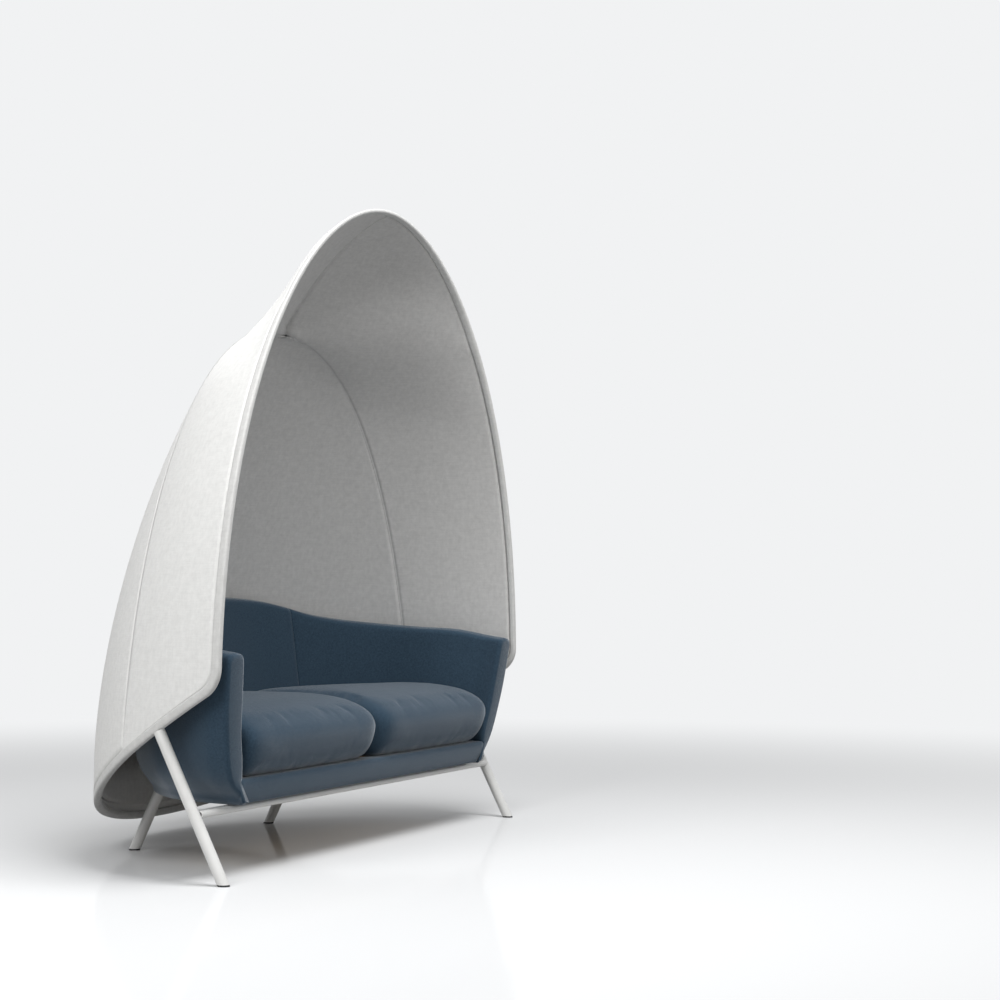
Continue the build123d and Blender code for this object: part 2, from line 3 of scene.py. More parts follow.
import bmesh
import bpy
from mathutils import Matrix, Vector


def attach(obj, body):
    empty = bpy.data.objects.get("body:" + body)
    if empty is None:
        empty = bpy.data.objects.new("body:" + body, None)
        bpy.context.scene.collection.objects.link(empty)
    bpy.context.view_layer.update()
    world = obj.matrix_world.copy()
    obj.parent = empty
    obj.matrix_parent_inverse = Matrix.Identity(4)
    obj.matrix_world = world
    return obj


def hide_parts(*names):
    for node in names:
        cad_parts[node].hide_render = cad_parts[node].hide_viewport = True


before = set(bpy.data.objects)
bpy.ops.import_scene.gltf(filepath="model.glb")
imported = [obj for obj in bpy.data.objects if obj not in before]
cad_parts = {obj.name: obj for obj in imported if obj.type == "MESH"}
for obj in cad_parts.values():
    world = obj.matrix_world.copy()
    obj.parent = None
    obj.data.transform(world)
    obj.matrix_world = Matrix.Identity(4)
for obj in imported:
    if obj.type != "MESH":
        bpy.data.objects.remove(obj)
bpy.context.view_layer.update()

MM = 0.001
FEET_LINE = -410.0           # y of the line through the front feet, in mm

# ---- the hood's form, in mm, y counted behind the front feet ----
RIM_HALF, APEX_Z, RIM_WIDE_Z = 927.0, 1939.0, 484.0
CREASE_HALF, CREASE_TOP_Z, CREASE_FOOT_Z, CREASE_BEHIND = 845.0, 1595.0, 100.0, 362.0
REAR_REACH, REAR_FULL_Z = 840.0, 300.0
RIM_FOOT_BEHIND, RIM_TOP_BEHIND = -13.0, -27.0
HEM_Z, HEM_SLOPE, HEM_CORNER = 521.0, 0.56, 90.0
HOOD_WALL, SHELL_WALL, LINING_WALL = 22.0, 8.0, 4.0
RIM_BAND, RIM_INNER_BAND, GROOVE, REAR_GROOVE = 26.0, 14.0, 5.0, 18.0
SIDE_BOW = 21.0
RIM_LEAN = (RIM_TOP_BEHIND - RIM_FOOT_BEHIND) / (APEX_Z - 600.0)
RIM_START = RIM_FOOT_BEHIND - 600.0 * RIM_LEAN
RIM_SLANT, HEM_SLANT = hypot(1.0, RIM_LEAN), hypot(1.0, HEM_SLOPE)
CORNER_Z = ((HEM_Z + HEM_CORNER * HEM_SLANT - HEM_SLOPE * (RIM_START + HEM_CORNER * RIM_SLANT))
            / (1.0 + HEM_SLOPE * RIM_LEAN))
CORNER_Y = RIM_START + RIM_LEAN * CORNER_Z + HEM_CORNER * RIM_SLANT
RIM_STEPS, CORNER_STEPS, HEM_STEPS, BACK_STEPS = 110, 14, 34, 56
ACROSS_STEPS, UP_STEPS = 26, 90
RIM_CROWN, CREASE_CROWN, REAR_CROWN = (2.11, 0.5175), (1.94, 0.466), (1.64, 0.666)   # bend, fullness
TOP_INSET, CREASE_INSET = 0.6, 0.55      # shares of an inset by which apex and fold draw in
HEM_FOLD_Z, SEAM_FOOT_Z = 320.0, 344.0
EDGE_BEND = 9.0                          # roll of the lining's edge
EASE_ROUNDS, EASE_CORE, EASE_FADE = 60, 90.0, 150.0

# ---- the tub's form ----
TUB_HALF, TUB_SHOULDER, TUB_SHOULDER_BEHIND, TUB_REAR = 873.0, 748.0, 362.0, 742.0
# height against how far the tub draws in; depth of the wall's middle against the height of its edge
TUB_TAPER = ((200.0, 145.0), (212.0, 139.0), (226.0, 126.0), (243.0, 102.0), (262.0, 81.0), (290.0, 63.0),
             (326.0, 48.0), (385.0, 31.0), (447.0, 16.0), (511.0, 7.0), (600.0, 0.0), (800.0, 18.0))
TUB_EDGE = ((-22.0, 615.0), (53.0, 626.0), (155.0, 646.0), (290.0, 655.0), (438.0, 671.0), (540.0, 692.0),
            (597.0, 718.0), (640.0, 744.0), (690.0, 760.0), (742.0, 764.0), (830.0, 764.0))
TUB_FOOT_Z, SEAT_Z, SEAM_HALF = 200.0, 271.0, 397.0
SHOULDER_SHARE, REAR_SHARE = 0.6, 0.42
SEAT_TOP_Z, ARM_WIDE_Z = 715.0, 600.0    # heights at which the seat's rear and its arms stand full
TOP_CORNER, TOP_SWELL = 17.0, 3.0
LEDGE, LEDGE_Z, LEDGE_RUN = 62.0, 400.0, 80.0
ARM_BELLY = 13.0                         # fullness of the arm's padding beside the cushions
ARM_RUN, BACK_RUN = 75.0, 210.0          # length of one station of the wall
NOSE_ROLL, SEAM_ROLL = 13.0, 3.0
APRON_HALF, APRON_DEPTH, APRON_BOW = 760.0, 58.0, 3.0


def place(x, behind, z):
    return Vector((x, FEET_LINE + behind, z)) * MM


def crown(share, bend, fullness):
    """1 at share 0, falling to 0 at share 1: the outline of an egg's end."""
    return (1.0 - min(max(share, 0.0), 1.0) ** bend) ** fullness


def smooth(share):
    """Soft step from 0 to 1."""
    share = min(max(share, 0.0), 1.0)
    return share * share * (3.0 - 2.0 * share)


def table(rows, at):
    """Smooth curve through the rows of a short table, read at one place."""
    for i in range(len(rows) - 1):
        if at <= rows[i + 1][0] or i == len(rows) - 2:
            break
    (x0, y0), (x1, y1) = rows[i], rows[i + 1]
    before = rows[max(i - 1, 0)]
    after = rows[min(i + 2, len(rows) - 1)]
    m0 = (y1 - before[1]) / (x1 - before[0])
    m1 = (after[1] - y0) / (after[0] - x0)
    run = x1 - x0
    t = min(max((at - x0) / run, 0.0), 1.0)
    return ((2 * t ** 3 - 3 * t ** 2 + 1) * y0 + (t ** 3 - 2 * t ** 2 + t) * run * m0
            + (3 * t ** 2 - 2 * t ** 3) * y1 + (t ** 3 - t ** 2) * run * m1)


# ---------------------------------------------------------------- mesh helpers

def link(name, data):
    made = bpy.data.objects.new(name, data)
    bpy.context.scene.collection.objects.link(made)
    return made


def pour(bm, mesh):
    """Write the shape into the mesh and let it shade smoothly."""
    bm.to_mesh(mesh)
    bm.free()
    mesh.shade_smooth()


def skin(name, rows, closed=False, outward=None):
    """One sheet through rows of points; closed joins its last column to its first."""
    high, wide = len(rows), len(rows[0]) + (1 if closed else 0)
    bm = bmesh.new()
    bmesh.ops.create_grid(bm, x_segments=wide - 1, y_segments=high - 1, size=1.0)
    for v in bm.verts:
        column = round((v.co.x + 1.0) / 2.0 * (wide - 1))
        row = round((v.co.y + 1.0) / 2.0 * (high - 1))
        v.co = rows[row][column % len(rows[row])]
    bmesh.ops.remove_doubles(bm, verts=bm.verts[:], dist=2e-5)
    bmesh.ops.dissolve_degenerate(bm, edges=bm.edges[:], dist=1e-6)
    if outward is None:
        bmesh.ops.recalc_face_normals(bm, faces=bm.faces[:])
    else:
        bm.normal_update()
        facing = sum(f.normal.dot(outward(f.calc_center_median())) * f.calc_area() for f in bm.faces)
        if facing < 0.0:
            bmesh.ops.reverse_faces(bm, faces=bm.faces[:])
    mesh = bpy.data.meshes.new(name)
    pour(bm, mesh)
    return link(name, mesh)


def flipped(p):
    return Vector((-p.x, p.y, p.z))


def mirrored(rows):
    return [[flipped(p) for p in row] for row in rows]


def heart_of(ring):
    return sum(ring, Vector()) / len(ring)


def thicken(piece, wall):
    wall_modifier = piece.modifiers.new("wall", "SOLIDIFY")
    wall_modifier.thickness = wall * MM
    wall_modifier.offset = -1.0
    wall_modifier.use_even_offset = False


def tube_rows(path, radius):
    """Rings of a round tube along a path of points."""
    sides, rings = 10, []
    for i, p in enumerate(path):
        ahead = (path[min(i + 1, len(path) - 1)] - path[max(i - 1, 0)]).normalized()
        across = ahead.cross(Vector((0.31, 0.8, 0.51))).normalized()
        third = ahead.cross(across)
        rings.append([p + (across * cos(2 * pi * k / sides) + third * sin(2 * pi * k / sides)) * radius
                      for k in range(sides)])
    return [[path[0].copy() for _ in rings[0]]] + rings + [[path[-1].copy() for _ in rings[0]]]


# ---------------------------------------------------------------- hood surfaces

def rim_half(z, inset):
    rise = APEX_Z - RIM_WIDE_Z - TOP_INSET * inset
    return (RIM_HALF - inset) * crown((z - RIM_WIDE_Z) / rise, *RIM_CROWN)


def crease_half(z, inset):
    rise = CREASE_TOP_Z - CREASE_FOOT_Z - inset
    return (CREASE_HALF - inset) * crown((z - CREASE_FOOT_Z) / rise, *CREASE_CROWN)


def rear_behind(z, inset):
    reach = REAR_REACH - RIM_TOP_BEHIND - inset
    rise = APEX_Z - REAR_FULL_Z - TOP_INSET * inset
    return RIM_TOP_BEHIND + reach * crown((z - REAR_FULL_Z) / rise, *REAR_CROWN)


def crease_behind(z, inset):
    return min(CREASE_BEHIND - CREASE_INSET * inset,
               rear_behind(z, inset) - (0.5 if crease_half(z, inset) > 1.0 else 0.0))


def rim_line(z):
    return RIM_START + RIM_LEAN * z


def circle_through(a, b, c):
    turn = 2.0 * (a[0] * (b[1] - c[1]) + b[0] * (c[1] - a[1]) + c[0] * (a[1] - b[1]))
    squares = [p[0] ** 2 + p[1] ** 2 for p in (a, b, c)]
    x = (squares[0] * (b[1] - c[1]) + squares[1] * (c[1] - a[1]) + squares[2] * (a[1] - b[1])) / turn
    y = (squares[0] * (c[0] - b[0]) + squares[1] * (a[0] - c[0]) + squares[2] * (b[0] - a[0])) / turn
    return x, y


def side_arc(z, inset):
    """Level section of a side panel: centre, radius and the angles of rim and fold."""
    rim, fold = rim_half(z, inset), crease_half(z, inset)
    y_rim, y_fold = rim_line(z), crease_behind(z, inset)
    run = max(y_fold - y_rim, 1.0)
    bow = min(SIDE_BOW, 0.08 * run)
    belly = ((rim + fold) / 2.0 + bow, (y_rim + y_fold) / 2.0 + bow * (rim - fold) / run)
    cx, cy = circle_through((rim, y_rim), belly, (fold, y_fold))
    radius = hypot(rim - cx, y_rim - cy)
    return cx, cy, radius, atan2(y_rim - cy, rim - cx), atan2(y_fold - cy, fold - cx)


def side_point(z, inset, behind):
    """Point of the side panel at this height and this far behind the feet."""
    cx, cy, radius, low, high = side_arc(z, inset)
    angle = asin(min(max((behind - cy) / radius, -1.0), 1.0))
    angle = min(max(angle, low), high)
    return cx + radius * cos(angle), cy + radius * sin(angle), z


def even(points, count):
    """The same line with its points spread evenly."""
    gone = [0.0]
    for a, b in zip(points, points[1:]):
        gone.append(gone[-1] + hypot(b[0] - a[0], b[1] - a[1], b[2] - a[2]))
    out, i = [], 0
    for k in range(count):
        want = gone[-1] * k / (count - 1)
        while i < len(gone) - 2 and gone[i + 1] < want:
            i += 1
        share = (want - gone[i]) / max(gone[i + 1] - gone[i], 1e-9)
        out.append(tuple(a + (b - a) * share for a, b in zip(points[i], points[i + 1])))
    return out


def top_of(margin, inset):
    """Height where the panel, this far inside the rim, meets the spine."""
    low, high = CREASE_TOP_Z, APEX_Z - TOP_INSET * inset - 0.01
    for _ in range(50):
        middle = (low + high) / 2.0
        if rear_behind(middle, inset) > rim_line(middle) + margin * RIM_SLANT:
            low = middle
        else:
            high = middle
    return low


def edge_line(margin, inset, extra=0.0):
    """The side panel's free edge, from the spine down the rim and along the hem to the fold."""
    radius = HEM_CORNER - margin
    top, foot = top_of(margin, inset), CORNER_Z + radius * RIM_LEAN / RIM_SLANT
    rim = [(0.0, rear_behind(top, inset), top)]
    for k in range(1, 500):
        z = top - (top - foot) * (1.0 - cos(pi / 2 * k / 499.0))
        rim.append(side_point(z, inset, rim_line(z) + margin * RIM_SLANT))
    rim = even(rim, RIM_STEPS)
    start, stop = pi - atan2(RIM_LEAN, 1.0), atan2(-1.0, -HEM_SLOPE) + 2 * pi
    corner = []
    for k in range(1, CORNER_STEPS + 1):
        angle = start + (stop - start) * k / CORNER_STEPS
        corner.append(side_point(CORNER_Z + radius * sin(angle), inset, CORNER_Y + radius * cos(angle)))
    hem, y_start, y_stop = [], corner[-1][1], crease_behind(HEM_FOLD_Z, inset)
    for k in range(1, HEM_STEPS + 1):
        share = k / HEM_STEPS
        lift = (margin + extra * smooth(share)) * HEM_SLANT
        y = y_start + (y_stop - y_start) * share
        hem.append(side_point(HEM_Z - HEM_SLOPE * y + lift, inset, y))
    return rim + corner + hem


def back_point(z, inset, share):
    """Point of the back panel: share 0 on the fold, 1 on the middle plane."""
    fold, y_fold, y_rear = crease_half(z, inset), crease_behind(z, inset), rear_behind(z, inset)
    sag = max(y_rear - y_fold, 0.4)
    radius = (fold ** 2 + sag ** 2) / (2.0 * sag)
    angle = atan2(fold, radius - sag) * (1.0 - share)
    return radius * sin(angle), y_rear - radius + radius * cos(angle), z


def back_foot(margin, inset, share):
    """Point of the back panel on its hem."""
    z = 200.0
    for _ in range(14):
        z = HEM_Z - HEM_SLOPE * back_point(z, inset, share)[1] + margin * HEM_SLANT
    return back_point(z, inset, share)


def side_panel(edges, extra=0.0):
    """Rows of a side panel. Each edge is (margin, inset); the last one carries the open surface."""
    inset = edges[-1][1]
    lines = [edge_line(margin, deep, extra) for margin, deep in edges]
    rows = []
    for k, (x, y, z) in enumerate(lines[-1]):
        cx, cy, radius, _, high = side_arc(z, inset)
        start = atan2(y - cy, x - cx)
        row = [place(*line[k]) for line in lines[:-1]]
        for c in range(ACROSS_STEPS + 1):
            angle = start + (high - start) * c / ACROSS_STEPS
            row.append(place(cx + radius * cos(angle), cy + radius * sin(angle), z))
        rows.append(row)
    rows[0] = rows[0][:len(lines) - 1] + [place(*lines[-1][0])] * (ACROSS_STEPS + 1)
    return eased(rows, len(lines), (CREASE_TOP_Z - inset) * MM)


def eased(rows, first, meeting):
    """The open surface of a side panel, eased where the fold runs out onto the spine."""
    for _ in range(EASE_ROUNDS):
        before = [list(row) for row in rows]
        for k in range(2, len(rows) - 1):
            share = 1.0 - smooth((abs(before[k][first].z - meeting) / MM - EASE_CORE) / EASE_FADE)
            for c in range(first, len(rows[k]) - 1):
                around = before[k - 1][c] + before[k + 1][c] + before[k][c - 1] + before[k][c + 1]
                rows[k][c] = before[k][c].lerp(around / 4.0, share * 0.9)
    return rows


def back_panel(edges):
    """Rows of the back panel from its hem to where the folds meet, fold to fold."""
    inset = edges[-1][1]
    shares = [k / BACK_STEPS for k in range(BACK_STEPS + 1)]
    rows = [[back_foot(m, i, s) for s in shares] for m, i in edges]
    top = CREASE_TOP_Z - inset
    foot = rows[-1]
    for k in range(1, UP_STEPS + 1):
        rise = sin(pi / 2 * k / UP_STEPS)
        rows.append([back_point(p[2] + (top - p[2]) * rise, inset, s) for p, s in zip(foot, shares)])
    half = [[place(*p) for p in row] for row in rows]
    return [row + [flipped(p) for p in row[-2::-1]] for row in half]


HOOD_HEART = Vector((0.0, FEET_LINE + 330.0, 800.0)) * MM


def from_heart(point):
    return point - HOOD_HEART


def to_heart(point):
    return HOOD_HEART - point


def rounded_edge(start):
    """Margins and insets that roll the lining's edge back into the groove."""
    return [(start + EDGE_BEND * (1.0 - cos(radians(a))), HOOD_WALL - EDGE_BEND * (1.0 - sin(radians(a))))
            for a in (0, 20, 40, 60, 78, 90)]


def hood_layer(name, side_edges, back_edges, extra, outward, wall):
    """One skin of the hood: right and left side panels, then the back panel."""
    side = side_panel(side_edges, extra)
    layer = [skin(f"{name}_right", side, outward=outward),
             skin(f"{name}_left", mirrored(side), outward=outward),
             skin(f"{name}_back", back_panel(back_edges), outward=outward)]
    for piece in layer:
        thicken(piece, wall)
    return layer


def make_hood():
    shell_edge = [(RIM_BAND - 2.0, 0.0)]
    shell = hood_layer("hood_shell", shell_edge, shell_edge, 0.0, from_heart, SHELL_WALL)
    start = RIM_INNER_BAND + GROOVE
    lining = hood_layer("hood_lining", rounded_edge(start), rounded_edge(start + REAR_GROOVE), REAR_GROOVE,
                        to_heart, LINING_WALL)
    return shell, lining, skin("hood_rim_roll", rim_rows(), closed=True)


def rim_rows():
    """Rings of the rolled rim all round the opening and the hem."""
    corners = []
    for margin, inset in ((0.0, 0.0), (0.0, HOOD_WALL), (RIM_BAND, 0.0), (RIM_INNER_BAND, HOOD_WALL)):
        line = edge_line(margin, inset)
        line += [back_foot(margin, inset, k / BACK_STEPS) for k in range(1, BACK_STEPS + 1)]
        corners.append([place(*p) for p in line])
    outline = []
    for k in range(13):
        angle = pi * k / 12.0
        across = 0.5 - 0.5 * abs(cos(angle)) ** 0.8 * (1 if cos(angle) > 0 else -1)
        outline.append((across, 0.44 * (1.0 - sin(angle) ** 0.8)))
    outline += [(1.0, 0.7), (1.0, 0.9), (0.93, 1.0), (0.5, 1.0), (0.07, 1.0), (0.0, 0.93), (0.0, 0.7)]
    half = []
    for outer, inner, outer_in, inner_in in zip(*corners):
        ring = []
        for across, deep in outline:
            near = outer.lerp(inner, across)
            far = outer_in.lerp(inner_in, across)
            ring.append(near.lerp(far, deep))
        half.append(ring)
    return half + mirrored(half[-2:0:-1]) + [half[0]]


def make_fold_seams():
    """Thin raised seams on the inside: one down each fold and one along the spine."""
    inset = HOOD_WALL - 2.6
    top = CREASE_TOP_Z - inset - 1.5
    fold = []
    for k in range(121):
        z = SEAM_FOOT_Z + (top - SEAM_FOOT_Z) * sin(pi / 2 * k / 120.0)
        fold.append(place(crease_half(z, inset), crease_behind(z, inset), z))
    spine = []
    high = top_of(RIM_INNER_BAND + GROOVE + 8.0, inset)
    for k in range(60):
        z = top + (high - top) * k / 59.0
        spine.append(place(0.0, rear_behind(z, inset), z))
    rows = tube_rows(fold, 4.0 * MM)
    return [skin("fold_seam_right", rows, closed=True), skin("fold_seam_left", mirrored(rows), closed=True),
            skin("spine_seam", tube_rows(spine, 4.0 * MM), closed=True)]


# ---------------------------------------------------------------- tub surfaces

def through(points, at):
    """Point on a smooth line through the given ones; at counts whole points."""
    i = min(int(at), len(points) - 2)
    t = at - i
    a, b = points[i], points[i + 1]
    before, after = points[max(i - 1, 0)], points[min(i + 2, len(points) - 1)]
    run = hypot(b[0] - a[0], b[1] - a[1])
    start = run / max(hypot(a[0] - before[0], a[1] - before[1]) + run, 1e-6)
    stop = run / max(hypot(after[0] - b[0], after[1] - b[1]) + run, 1e-6)
    out = []
    for k in (0, 1):
        m0, m1 = (b[k] - before[k]) * start, (after[k] - a[k]) * stop
        out.append((2 * t ** 3 - 3 * t ** 2 + 1) * a[k] + (t ** 3 - 2 * t ** 2 + t) * m0
                   + (3 * t ** 2 - 2 * t ** 3) * b[k] + (t ** 3 - t ** 2) * m1)
    return out


def nose_behind(z):
    return -15.0 + 0.134 * (600.0 - z)


def outer_points(z):
    """Right half of the tub's outer plan at this height: arm points, then back points."""
    drawn = table(TUB_TAPER, z)
    half = TUB_HALF - drawn
    shoulder_in, rear_in = [drawn * (share if z < 600.0 else 1.0) for share in (SHOULDER_SHARE, REAR_SHARE)]
    shoulder = (TUB_SHOULDER - shoulder_in, TUB_SHOULDER_BEHIND - 0.5 * shoulder_in)
    rear = (0.0, TUB_REAR - rear_in)
    turn = (shoulder[0] * 0.56, rear[1] - 0.26 * (TUB_REAR - TUB_SHOULDER_BEHIND))
    cx, cy = circle_through(shoulder, turn, rear)
    radius = hypot(rear[0] - cx, rear[1] - cy)
    seam = (SEAM_HALF, cy + (radius ** 2 - (SEAM_HALF - cx) ** 2) ** 0.5)
    x = (seam[0] + shoulder[0]) / 2.0 + 12.0
    haunch = (x, cy + (radius ** 2 - (x - cx) ** 2) ** 0.5)
    x = SEAM_HALF / 2.0
    tail = (x, cy + (radius ** 2 - (x - cx) ** 2) ** 0.5)
    front = nose_behind(z)
    flank = ((half + shoulder[0]) / 2.0 + 10.0, (front + shoulder[1]) / 2.0 + 30.0)
    arm = [(half, front), (half - 4.0, front + 75.0), flank, shoulder, haunch, seam]
    return arm, [seam, tail, rear, (-tail[0], tail[1]), (-seam[0], seam[1])]


def seat_plan(z, inset=0.0, seam_lean=5.0):
    """Side, turn, seam, rear and lumbar depth of the seat hollow's right half at this height."""
    share = (z - SEAT_Z) / (SEAT_TOP_Z - SEAT_Z)
    side = (635.0 + 28.0 * share - 0.9 * inset, 350.0 + 18.0 * share - 0.45 * inset)
    seam = (400.0 - seam_lean * share - 0.4 * inset, 520.0 + 54.0 * share - 0.9 * inset)
    rear = 570.0 + 70.0 * share - inset
    turn = ((side[0] + seam[0]) / 2.0 + 11.0, (side[1] + seam[1]) / 2.0 + 15.0)
    return side, turn, seam, rear, rear + (seam[1] - rear) * 0.27


def seat_half(z):
    return 750.0 + 45.0 * min((z - SEAT_Z) / (ARM_WIDE_Z - SEAT_Z), 1.0)


def inner_points(z):
    """Right half of the seat hollow's plan at this height: arm points, then back points."""
    side, turn, seam, rear, lumbar = seat_plan(z)
    half, front = seat_half(z), nose_behind(z)
    hip = ((half + side[0]) / 2.0 + 8.0, (front + side[1]) / 2.0 + 18.0)
    arm = [(half, front), (half - 3.0, front + 75.0), hip, side, turn, seam]
    small = seam[0] / 2.0
    return arm, [seam, (small, lumbar), (0.0, rear), (-small, lumbar), (-seam[0], seam[1])]


def wall_section(part, at, shift, shrink, back):
    """Ring of the padded wall at one place of its run, drawn in by shrink and moved on by shift."""
    known = {}

    def line(z, inner_side):
        key = (round(z, 2), inner_side)
        if key not in known:
            points = (inner_points(max(z, SEAT_Z)) if inner_side else outer_points(z))[part]
            known[key] = through(points, at)
        return known[key]

    def across(z):
        a, b = line(z, False), line(z, True)
        wide = max(hypot(b[0] - a[0], b[1] - a[1]), 1.0)
        return a, b, (b[0] - a[0]) / wide, (b[1] - a[1]) / wide

    def outside(z, offset):
        a, _, dx, dy = across(z)
        return place(a[0] + dx * offset, a[1] + dy * offset + shift, z)

    def inside(z, offset):
        _, b, dx, dy = across(z)
        return place(b[0] - dx * offset, b[1] - dy * offset + shift, z)

    foot = TUB_FOOT_Z - 1.5 + shrink * 0.6
    edge_level = 700.0 if back else 640.0
    middle = (line(edge_level, False)[1] + line(edge_level, True)[1]) / 2.0 + shift
    top_out = table(TUB_EDGE, middle) - shrink
    top_in = top_out - 1.0
    turns = [(TOP_CORNER * (1.0 - sin(angle)), TOP_CORNER * (1.0 - cos(angle)))
             for angle in [pi / 2 * k / 5.0 for k in range(6)]]
    ring = []
    for k in range(16):
        ring.append(outside(foot + (top_out - TOP_CORNER - foot) * (k / 15.0) ** 1.25, shrink))
    for down, inward in turns[1:]:
        ring.append(outside(top_out - down, shrink + inward))
    for share in (0.2, 0.4, 0.6, 0.8):
        top = outside(top_out, shrink + TOP_CORNER).lerp(inside(top_in, shrink + TOP_CORNER), share)
        ring.append(top + Vector((0.0, 0.0, TOP_SWELL * MM * sin(pi * share))))
    for down, inward in turns[::-1]:
        ring.append(inside(top_in - down, shrink + inward))
    for k in range(1, 13):
        z = top_in - TOP_CORNER + (SEAT_Z + 2.0 - top_in + TOP_CORNER) * k / 12.0
        belly = 0.0 if back else ARM_BELLY * smooth((410.0 - z) / 110.0)
        ring.append(inside(z, shrink - belly))
    seat, low = line(SEAT_Z, True), line(LEDGE_Z, False)
    ledge = LEDGE * (1.0 if back else smooth((seat[1] + shift - 62.0) / 30.0))
    x, y = [s + (s - q) * ledge / LEDGE_RUN for s, q in zip(seat, low)]
    for z in (SEAT_Z - 8.0, foot + 4.0, foot):
        ring.append(place(x if back else min(x, line(z, False)[0] - 6.0 - shrink), y + shift, z))
    return ring


def wall_rows(part, stations, nose, seam):
    """Rings along the wall from stations, with a rolled end at the nose or at a seam."""
    back = part == 1
    first, last = stations[0], stations[-1]
    turns = [pi / 2 * k / 6.0 for k in range(6)]
    rows = []
    for angle in turns:
        step, shrink = nose * (1.0 - cos(angle)), nose * (1.0 - sin(angle))
        at, shift = (first + step / BACK_RUN, 0.0) if back else (first, step)
        rows.append(wall_section(part, at, shift, shrink, back))
    skip = nose / (BACK_RUN if back else ARM_RUN)
    for at in stations[1:-1]:
        if first + skip < at < last - seam / BACK_RUN:
            rows.append(wall_section(part, at, 0.0, 0.0, back))
    for angle in turns[::-1]:
        step = seam * (1.0 - cos(angle))
        rows.append(wall_section(part, last - step / BACK_RUN, 0.0, seam * (1.0 - sin(angle)), back))
    return [pinched(rows[0])] + rows + [pinched(rows[-1])]


def pinched(ring):
    """The ring drawn together onto its own middle line, which closes the end of a wall."""
    sides = ring[:23], ring[23:]
    middle = []
    for side, other in (sides, sides[::-1]):
        for p in side:
            middle.append((p + min(other, key=lambda q: abs(q.z - p.z))) / 2.0)
    return middle


def make_tub():
    arm_rows = wall_rows(0, [k / 14.0 for k in range(71)], NOSE_ROLL, SEAM_ROLL)
    back_rows = wall_rows(1, [k / 14.0 for k in range(57)], SEAM_ROLL, SEAM_ROLL)
    return [skin("tub_arm_cover_right", arm_rows, closed=True),
            skin("tub_arm_cover_left", mirrored(arm_rows), closed=True),
            skin("tub_back_cover", back_rows, closed=True)]


def make_front_rail():
    """Padded rail under the cushions: bowed front, rolled top edge, rounded ends."""
    outline = ((0.0, 0.06), (-1.5, 0.25), (-3.2, 0.5), (-2.8, 0.75), (-0.6, 0.9), (4.0, 0.98), (11.0, 1.0),
               (APRON_DEPTH, 1.008), (APRON_DEPTH, 0.97), (APRON_DEPTH, 0.94), (APRON_DEPTH, 0.06),
               (APRON_DEPTH - 4.0, 0.0), (8.0, 0.0), (2.0, 0.015))
    foot, high = TUB_FOOT_Z + 1.0, SEAT_Z - TUB_FOOT_Z - 1.0
    rings, count = [], 120
    for k in range(count + 1):
        x = -APRON_HALF + 2 * APRON_HALF * k / count
        end = min(k, count - k) * 2 * APRON_HALF / count
        draw = 4.0 * (1.0 - (1.0 - min(end / 12.0, 1.0)) ** 2) ** 0.5 - 4.0
        bow = APRON_BOW * (1.0 - (x / APRON_HALF) ** 2)
        ring = []
        for deep, up in outline:
            level = foot + high * up
            front = nose_behind(level) - draw + 1.0 - bow
            limit = TUB_HALF - table(TUB_TAPER, level) - 4.0
            z = foot + high * (0.5 + (up - 0.5) * (1.0 + draw / 60.0))
            ring.append(place(x * min(1.0, limit / APRON_HALF), front + min(deep, APRON_DEPTH + draw), z))
        rings.append(ring)
    ends = [[heart_of(ring)] * len(outline) for ring in (rings[0], rings[-1])]
    return skin("front_rail_cover", ends[:1] + rings + ends[1:], closed=True)


# ---------------------------------------------------------------- seat cushions

# height above the deck against how far the edge draws in, at the sides and at the front
CUSHION_SIDE = ((0.0, 26.0), (14.0, 11.0), (40.0, 5.0), (80.0, 2.0), (116.0, 4.0), (150.0, 16.0),
                (172.0, 44.0), (186.0, 90.0), (193.0, 145.0), (196.0, 205.0))
CUSHION_FRONT = ((0.0, 52.0), (14.0, 32.0), (40.0, 12.0), (72.0, 0.0), (102.0, -5.0), (130.0, 4.0),
                 (152.0, 30.0), (172.0, 80.0), (186.0, 142.0), (193.0, 198.0), (196.0, 248.0))


CUSHION_RISE = CUSHION_SIDE[-1][0]
RING_POINTS, CORNER_REACH = 180, 3


def cushion_ring(z, inset, front, split):
    """Plan of the right cushion at one height, its corners rounded off."""
    side, turn, seam, rear, lumbar = seat_plan(z, inset, 0.0)
    half = seat_half(z) - inset
    hip = ((half + side[0]) / 2.0 + 8.0, (front + side[1]) / 2.0 + 3.0)
    bow = 5.0 * (1.0 - min(inset / 60.0, 1.0))
    corners = [(split, front), ((split + half) / 2.0, front - bow), (half, front), hip, side, turn, seam,
               ((split + seam[0]) / 2.0, lumbar), (split, rear), (split, (front + rear) / 2.0),
               (split, front)]
    ring = even([(x, y, 0.0) for x, y in corners], RING_POINTS + 1)[:-1]
    window = range(-CORNER_REACH, CORNER_REACH + 1)
    for _ in range(3):
        ring = [tuple(sum(ring[(k + d) % RING_POINTS][i] for d in window) / len(window) for i in (0, 1))
                for k in range(RING_POINTS)]
    return [place(x, y, z) for x, y in ring]


